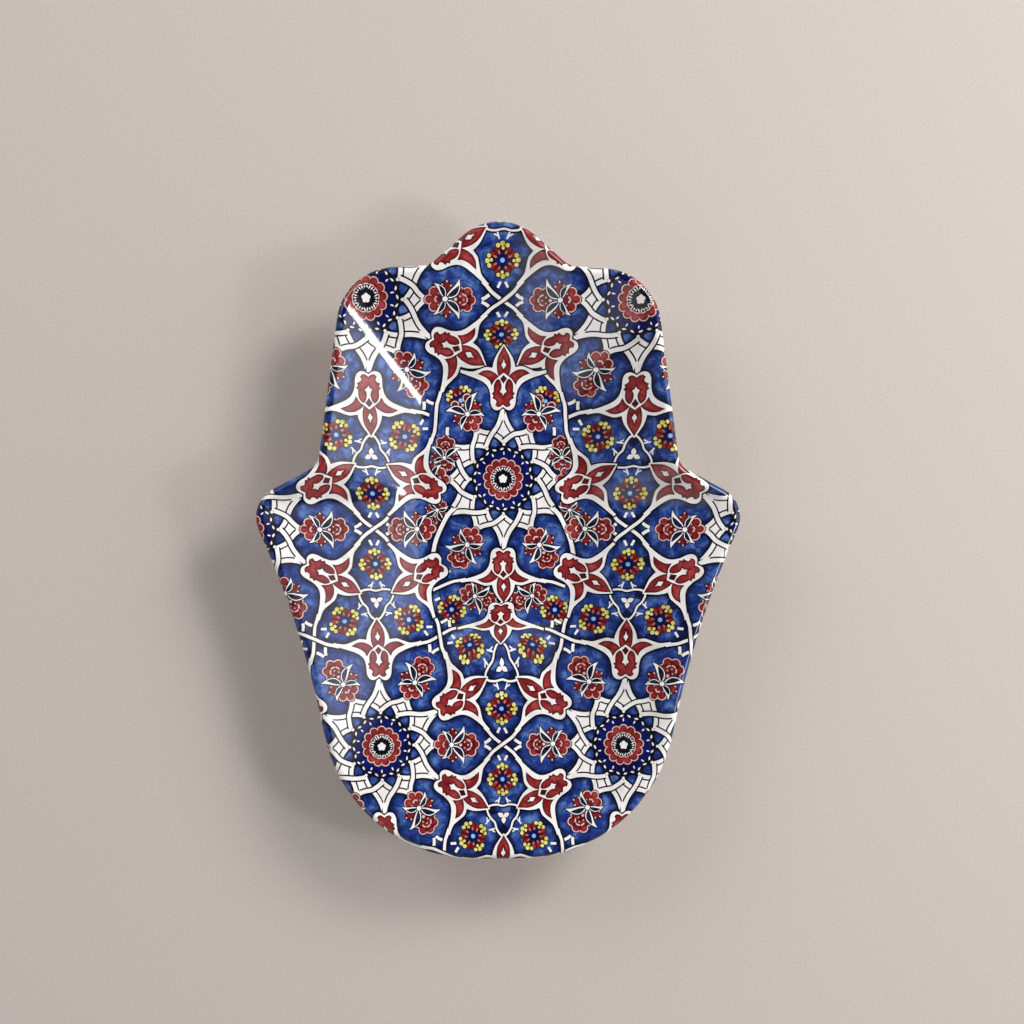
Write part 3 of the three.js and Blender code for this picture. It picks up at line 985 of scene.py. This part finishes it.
def formObject():
    rings = form["wall"] + form["lip"] + [form["spare"]]
    points = [poleAt(wellFloor)] + [r["points"] for r in rings]
    normals = [np.array([[0.0, 0.0, 1.0]])] + [r["normals"] for r in rings]
    flats = [wellCentre[None, :]] + [r["flat"] for r in rings]
    mesh = newMesh("plateForm", (np.concatenate(points) * mm).tolist(), ringFaces(points))
    setPointVectors(mesh, "outward", np.concatenate(normals))
    setPointVectors(mesh, "flat", flatShare(np.concatenate(flats)))
    return newObject("plateForm", mesh)


def wrappedSheet(flat):
    # the flat points as places and directions on the formed plate
    carrier = newObject("printSheet", newMesh("printSheet", flatShare(flat).tolist(), []))
    target = formObject()
    laid = runTree(carrier, buildWrapTree(), {"Form": target})
    places = readVectors(laid.vertices, "co")
    normals = readVectors(laid.attributes["outward"].data, "vector")
    bpy.data.objects.remove(carrier)
    bpy.data.objects.remove(target)
    return places, normals / np.maximum(np.linalg.norm(normals, axis=1), 1e-9)[:, None]


def edgeFade(together, width):
    # how far each point of some inks is from the nearest other ink: 0 at the edge, 1 well inside
    inside, others = (np.unique(np.concatenate([tri.ravel() for (sheet, ink), tri in printed.items()
                                                if (ink in together) == wanted])) for wanted in (True, False))
    tree = KDTree(len(others))
    for i in others:
        tree.insert((flatPoints[i, 0], flatPoints[i, 1], 0.0), int(i))
    tree.balance()
    fade = np.ones(len(flatPoints), dtype=np.float32)
    for i in inside:
        fade[i] = min(1.0, tree.find((flatPoints[i, 0], flatPoints[i, 1], 0.0))[2] / width)
    for sheet in ("wall", "well"):
        fade[np.unique(printed[sheet, "cobalt"])] = 1.0
    return fade


bakeMargin = 0.01            # share of the map kept free at each side


def inkShell(name, triangles, flat, places, normals, depth, fade):
    # a thin closed coat under one ink's triangles, lit by the form's own normals
    used, inverse = np.unique(triangles, return_inverse=True)
    tri = inverse.reshape(-1, 3)
    count = len(used)
    top, outward = places[used], normals[used]
    edges = np.concatenate([tri[:, [0, 1]], tri[:, [1, 2]], tri[:, [2, 0]]])
    border = edges[~np.isin(edges[:, 0] * count + edges[:, 1], edges[:, 1] * count + edges[:, 0])]
    a, b = border[:, 0], border[:, 1]
    verts = np.concatenate([top, top - outward * depth])
    faces = tri.tolist() + (tri[:, ::-1] + count).tolist()
    faces += np.column_stack([b, a, a + count, b + count]).tolist()
    mesh = newMesh(name, verts.tolist(), faces)
    side = np.cross(outward[a], top[b] - top[a])
    side = -side / np.maximum(np.linalg.norm(side, axis=1), 1e-12)[:, None]
    loopNormals = np.concatenate([outward[tri].reshape(-1, 3), -outward[tri[:, ::-1]].reshape(-1, 3),
                                  np.repeat(side, 4, axis=0)])
    mesh.normals_split_custom_set(loopNormals.tolist())
    share = flatShare(flat[used])[:, :2]
    low, span = share.min(axis=0), np.ptp(share, axis=0).max()
    share = (share - low) / span * (1 - 2 * bakeMargin) + bakeMargin
    corners = np.empty(len(mesh.loops), dtype=np.int32)
    mesh.loops.foreach_get("vertex_index", corners)
    mesh.attributes.new("fade", "FLOAT", "POINT").data.foreach_set("value", np.tile(fade[used], 2))
    bakeMap = mesh.uv_layers.new(name="OFBake")
    bakeMap.data.foreach_set("uv", share[corners % count].astype(np.float32).ravel())
    return newObject(name, mesh)


# Finishes
def srgb(*values):
    shares = [value / 255 for value in values]
    return tuple(s / 12.92 if s <= 0.04 else ((s + 0.055) / 1.055) ** 2.4 for s in shares) + (1.0,)


def startMaterial(name, sockets):
    material = bpy.data.materials.new(name)
    material.use_nodes = True
    shader = material.node_tree.nodes["Principled BSDF"]
    for socket, value in sockets.items():
        shader.inputs[socket].default_value = value

    def feed(source, *inputs):
        for label in inputs:
            material.node_tree.links.new(source, shader.inputs[label])

    where = material.node_tree.nodes.new("ShaderNodeTexCoord").outputs["Object"]
    return material, material.node_tree, feed, where


def noiseNode(tree, where, scale, detail=3.0, roughness=0.55, distortion=0.0):
    return addNode(tree, "ShaderNodeTexNoise", {
        "Vector": where, "Scale": scale, "Detail": detail, "Roughness": roughness,
        "Distortion": distortion}).outputs["Fac"]


def rampNode(tree, factor, stops):
    node = addNode(tree, "ShaderNodeValToRGB", {"Fac": factor})
    ramp = node.color_ramp
    while len(ramp.elements) < len(stops):
        ramp.elements.new(0.5)
    for element, (position, colour) in zip(ramp.elements, stops):
        element.position = position
        element.color = colour
    return node.outputs["Color"]


def mixedColour(tree, share, first, second):
    links = {"Factor": share, 6: first, 7: second}
    return addNode(tree, "ShaderNodeMix", links, data_type="RGBA", blend_type="MIX").outputs[2]


def bumpNode(tree, height, distance, strength=1.0, **links):
    links.update(Height=height, Distance=distance, Strength=strength)
    return addNode(tree, "ShaderNodeBump", links).outputs[0]


glaze = {
    "coatRoughness": 0.045, "wave": 0.00012, "waveScale": 46.0, "peel": 0.00002, "peelScale": 420.0,
    "washStops": (0.34, 0.5, 0.68), "roughScale": 160.0, "roughFrom": 0.26, "roughTo": 0.44,
}


def glazeWave(tree, feed, where, strength=1.0):
    # the slow unevenness of a clear glaze, the same under every ink
    slow, fine = (noiseNode(tree, where, glaze[scale], detail=2.0, roughness=0.5)
                  for scale in ("waveScale", "peelScale"))
    bump = bumpNode(tree, slow, glaze["wave"] * strength)
    feed(bumpNode(tree, fine, glaze["peel"] * strength, Normal=bump), "Normal", "Coat Normal")


def enamel(name, dark, middle, pale, wash=90.0, fadeTo=None):
    # underglaze colour, brushed unevenly, below a clear glaze
    material, tree, feed, where = startMaterial(name, {
        "Roughness": 0.35, "Specular IOR Level": 0.0,
        "Coat Weight": 1.0, "Coat Roughness": glaze["coatRoughness"], "Coat IOR": 1.5})
    broad = noiseNode(tree, where, wash, detail=5.0, roughness=0.66, distortion=0.5)
    tone = rampNode(tree, broad, list(zip(glaze["washStops"], (dark, middle, pale))))
    if fadeTo:
        groundTone = rampNode(tree, broad, list(zip(glaze["washStops"], fadeTo)))
        share = addNode(tree, "ShaderNodeAttribute", attribute_name="fade").outputs["Fac"]
        tone = mixedColour(tree, share, tone, groundTone)
    feed(tone, "Base Color")
    rough = addNode(tree, "ShaderNodeMapRange", {
        "Value": noiseNode(tree, where, glaze["roughScale"]), "From Min": 0.3, "From Max": 0.7,
        "To Min": glaze["roughFrom"], "To Max": glaze["roughTo"]})
    feed(rough.outputs[0], "Roughness")
    glazeWave(tree, feed, where)
    return material


cobalt = [srgb(14, 29, 85), srgb(36, 61, 131), srgb(94, 125, 183)]
redBrush = [srgb(107, 25, 29), srgb(139, 41, 43), srgb(169, 72, 68)]
inks = {
    "cobalt": enamel("enamelCobalt", *cobalt, 165.0),
    "deep": enamel("enamelDeepBlue", srgb(7, 13, 44), srgb(11, 20, 62), srgb(17, 32, 84), 165.0, cobalt),
    "outline": enamel("enamelLine", srgb(7, 7, 16), srgb(11, 11, 24), srgb(24, 23, 40)),
    "white": enamel("enamelWhite", srgb(218, 212, 208), srgb(235, 231, 229), srgb(243, 240, 239), 60.0),
    "red": enamel("enamelRed", srgb(72, 12, 16), srgb(92, 20, 24), srgb(114, 32, 34), 150.0, redBrush),
    "pink": enamel("enamelPink", srgb(204, 150, 146), srgb(220, 176, 170), srgb(232, 198, 192)),
    "navy": enamel("enamelNavy", srgb(4, 7, 48), srgb(8, 15, 76), srgb(20, 32, 104)),
    "yellow": enamel("enamelYellow", srgb(184, 168, 66), srgb(216, 204, 108), srgb(236, 231, 166), 260.0),
    "sky": enamel("enamelSky", srgb(112, 156, 206), srgb(140, 180, 222), srgb(172, 202, 232)),
    "orange": enamel("enamelOrange", srgb(176, 74, 46), srgb(204, 100, 64), srgb(218, 128, 92)),
    "maroon": enamel("enamelMaroon", srgb(52, 9, 14), srgb(68, 14, 18), srgb(88, 24, 26)),
    "slate": enamel("enamelSlate", srgb(12, 14, 28), srgb(20, 24, 44), srgb(40, 48, 72), 220.0),
}


plain = {
    "poolScale": 28.0, "wave": 1.4, "speckScale": 900.0, "speck": srgb(168, 148, 124),
    "tones": [(0.3, srgb(214, 206, 194)), (0.5, srgb(226, 220, 210)), (0.72, srgb(232, 227, 219))],
    "speckShare": [(0.74, (0, 0, 0, 1)), (0.79, (1, 1, 1, 1))],
}


def plainGlaze():
    material, tree, feed, where = startMaterial("plainGlaze", {
        "Roughness": 0.3, "Coat Weight": 1.0, "Coat Roughness": 0.08, "Coat IOR": 1.5})
    pooled = noiseNode(tree, where, plain["poolScale"], detail=4.0, roughness=0.6)
    tone = rampNode(tree, pooled, plain["tones"])
    specks = rampNode(tree, noiseNode(tree, where, plain["speckScale"], detail=1.0), plain["speckShare"])
    tone = mixedColour(tree, specks, tone, plain["speck"])
    feed(tone, "Base Color")
    glazeWave(tree, feed, where, plain["wave"])
    return material


biscuit = {
    "patchScale": 60.0, "grainScale": 1400.0, "grainDepth": 0.00012, "grainStrength": 0.8,
    "tones": [(0.32, srgb(196, 176, 148)), (0.5, srgb(212, 195, 170)), (0.68, srgb(222, 208, 186))],
}


def biscuitClay():
    sockets = {"Roughness": 0.85, "Specular IOR Level": 0.25}
    material, tree, feed, where = startMaterial("biscuitClay", sockets)
    grain = noiseNode(tree, where, biscuit["grainScale"], detail=4.0, roughness=0.7)
    patches = noiseNode(tree, where, biscuit["patchScale"], detail=6.0, roughness=0.7)
    feed(rampNode(tree, patches, biscuit["tones"]), "Base Color")
    feed(bumpNode(tree, grain, biscuit["grainDepth"], biscuit["grainStrength"]), "Normal")
    return material


# Body, foot and plain glaze, as closed rings of points
def ringPiece(name, rings, material, sharpAngle=40.0):
    mesh = newMesh(name, (np.concatenate(rings) * mm).tolist(), ringFaces(rings))
    mesh.set_sharp_from_angle(angle=math.radians(sharpAngle))
    mesh.materials.append(material)
    return newObject(name, mesh)


def sunk(ring, depth):
    return ring["points"] - depth * ring["normals"]


def buildBody(material):
    depth = coat["thickness"] + coat["bodyGap"]
    rings = [poleAt(wellFloor - depth)]
    rings += [sunk(r, depth) for r in form["wall"] + form["lip"] + form["glazeLip"] + form["under"]]
    rings += [sunk(form["footOuter"], depth), sunk(form["footInner"], depth)]
    rings.append(poleAt(plate["footHeight"] + depth))
    return ringPiece("plate_biscuit_body", rings, material)


def buildUndersideGlaze(material):
    rings = form["glazeLip"] + form["under"] + [form["footOuter"]]
    return ringPiece("plate_underside_glaze", [sunk(r, 0.0) for r in rings]
                     + [sunk(r, coat["thickness"]) for r in reversed(rings)], material, 60.0)


def buildFootWellGlaze(material):
    low = plate["footHeight"]
    rings = [poleAt(low + coat["thickness"]), sunk(form["footInner"], coat["thickness"]),
             sunk(form["footInner"], 0.0), poleAt(low)]
    return ringPiece("plate_foot_well_glaze", rings, material, 60.0)


def buildFootRing(material):
    ray = form["ray"]
    top = plate["footHeight"] + coat["thickness"]
    inset, edge, inner = foot["inset"], foot["edge"], foot["inset"] + foot["width"]
    profile = [(inner, top), (inset, top)]
    quarter = [polar(edge, 90.0 * s / foot["edgeSteps"]) for s in range(foot["edgeSteps"] + 1)]
    profile += [(inset + edge - dx, edge - dy) for dx, dy in quarter]
    profile += [(inner - edge + dy, edge - dx) for dx, dy in quarter]
    rings = [stacked(wellCentre + ray * wellReach(ray, inset)[:, None], z) for inset, z in profile]
    return ringPiece("plate_foot_ring", rings, material)


def finishPiece(piece, slot, *nodes):
    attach(piece, "root")
    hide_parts(*nodes)


clay = biscuitClay()
clear = plainGlaze()
finishPiece(buildBody(clay), "biscuit_clay", "plate_body")
finishPiece(buildFootRing(clay), "biscuit_clay", "foot_ring")
finishPiece(buildUndersideGlaze(clear), "plain_glaze", "underside_glaze")
finishPiece(buildFootWellGlaze(clear), "plain_glaze", "foot_well_glaze")
print("body, foot and plain glaze made")

flatPoints, printed = printedFaces()
places, normals = wrappedSheet(flatPoints)
groundFade = edgeFade(grounds, net["shade"] - net["line"])
redFade = edgeFade(("red",), net["rimShade"])
total = 0
for (sheet, ink), triangles in sorted(printed.items()):
    piece = inkShell(sheet + "_print_" + ink, triangles, flatPoints, places, normals, coat["thickness"] * mm,
                     redFade if ink == "red" else groundFade)
    piece.data.materials.append(inks[ink])
    finishPiece(piece, sheet + "_print", sheet + "_print")
    piece.data.calc_loop_triangles()
    total += len(piece.data.loop_triangles)
    print(" ", piece.name, len(piece.data.loop_triangles), "triangles")
print("printed coats:", total, "triangles")


# Camera, floor and light
view = {"height": 0.95, "left": 0.05, "target": (0.0056, 0.0123, 0.030), "frameWidth": 0.4509}


def placeCamera():
    camera = bpy.data.cameras.new("photoCamera")
    holder = newObject("photoCamera", camera)
    target = Vector(view["target"])
    holder.location = target + Vector((-view["left"], 0.0, view["height"]))
    ahead = (target - holder.location).normalized()
    right = ahead.cross(Vector((0.0, 1.0, 0.0))).normalized()   # the fingers point up the picture
    holder.rotation_euler = Matrix((right, right.cross(ahead), -ahead)).transposed().to_euler()
    distance = (target - holder.location).length
    camera.sensor_width = 36.0
    camera.lens = 18.0 / (view["frameWidth"] / 2 / distance)
    bpy.context.scene.camera = holder


room = {
    "half": 3.0, "grainScale": 900.0, "paint": [(0.3, srgb(186, 177, 170)), (0.7, srgb(198, 189, 183))],
    "tone": srgb(206, 198, 192), "near": 0.45, "far": 1.1,      # metres; past far only the tone is seen
}


def placeFloor():
    half = room["half"]
    corners = [(-half, -half, 0), (half, -half, 0), (half, half, 0), (-half, half, 0)]
    mesh = newMesh("floor", corners, [(0, 1, 2, 3)])
    sockets = {"Roughness": 0.9, "Specular IOR Level": 0.2}
    material, tree, feed, where = startMaterial("floorPaint", sockets)
    grain = noiseNode(tree, where, room["grainScale"], roughness=0.6)
    feed(rampNode(tree, grain, room["paint"]), "Base Color")
    away = addNode(tree, "ShaderNodeVectorMath", {0: where}, operation="LENGTH").outputs["Value"]
    span = {"Value": away, "From Min": room["near"], "From Max": room["far"]}
    far = addNode(tree, "ShaderNodeMapRange", span, interpolation_type="SMOOTHSTEP").outputs["Result"]
    seen = addNode(tree, "ShaderNodeLightPath").outputs["Is Camera Ray"]
    paint = tree.nodes["Principled BSDF"].outputs[0]
    pale = addNode(tree, "ShaderNodeEmission", {"Color": room["tone"]}).outputs[0]
    blended = addNode(tree, "ShaderNodeMixShader",
                      {0: mathNode(tree, "MULTIPLY", far, seen), 1: paint, 2: pale}).outputs[0]
    tree.links.new(blended, tree.nodes["Material Output"].inputs["Surface"])
    mesh.materials.append(material)
    newObject("floor", mesh)


# name, degrees from +X, degrees from overhead, distance, width and height in metres, watts
lamps = [
    ("keyLight", 40, 54, 1.6, 0.75, 0.75, 17.0),
    ("sidePanel", -2, 58, 1.6, 1.35, 1.75, 9.0),
    ("fillLight", 140, 58, 1.8, 1.1, 1.1, 11.0),
    ("lowPanel", 232, 50, 1.6, 1.7, 1.4, 4.2),
    ("topPanel", 92, 30, 1.6, 0.8, 0.5, 0.8),
    ("sideGlint", -14, 52, 1.5, 0.27, 0.27, 4.3),
]
studio = {"tint": (1.0, 0.985, 0.97), "levels": [(0.0, 0.7), (0.62, 0.12), (1.0, 0.05)]}   # floor to overhead


def softenLamp(lamp):
    # a diffuser, brightest in its middle; the mean stays as written
    lamp.use_nodes = True
    tree = lamp.node_tree
    place = addNode(tree, "ShaderNodeNewGeometry").outputs["Parametric"]
    parts = addNode(tree, "ShaderNodeSeparateXYZ", {0: place}).outputs
    level = 1.0
    for part in (parts["X"], parts["Y"]):
        bell = mathNode(tree, "MULTIPLY", part, mathNode(tree, "SUBTRACT", 1.0, part))
        level = mathNode(tree, "MULTIPLY", mathNode(tree, "MULTIPLY", bell, 6.0), level)
    tree.links.new(level, tree.nodes["Emission"].inputs["Strength"])


def placeLight():
    for name, compass, tilt, distance, width, height, watts in lamps:
        lamp = bpy.data.lights.new(name, "AREA")
        lamp.shape = "RECTANGLE"
        lamp.size = width
        lamp.size_y = height
        lamp.energy = watts
        softenLamp(lamp)
        flat = polar(math.sin(math.radians(tilt)), compass)
        holder = newObject(name, lamp)
        holder.location = Vector((flat[0], flat[1], math.cos(math.radians(tilt)))) * distance
        holder.rotation_euler = (-holder.location).to_track_quat("-Z", "Y").to_euler()
    world = bpy.data.worlds.new("studio")
    world.use_nodes = True
    tree = world.node_tree
    where = tree.nodes.new("ShaderNodeTexCoord").outputs["Generated"]
    height = addNode(tree, "ShaderNodeSeparateXYZ", {0: where}).outputs["Z"]
    stops = [(at, tuple(level * c for c in studio["tint"]) + (1.0,)) for at, level in studio["levels"]]
    glow = rampNode(tree, height, stops)
    seen = addNode(tree, "ShaderNodeLightPath").outputs["Is Camera Ray"]
    tree.links.new(mixedColour(tree, seen, glow, room["tone"]), tree.nodes["Background"].inputs["Color"])
    bpy.context.scene.world = world


placeCamera()
placeFloor()
placeLight()
bpy.context.scene.view_settings.view_transform = "Standard"
print("camera, floor and light set")
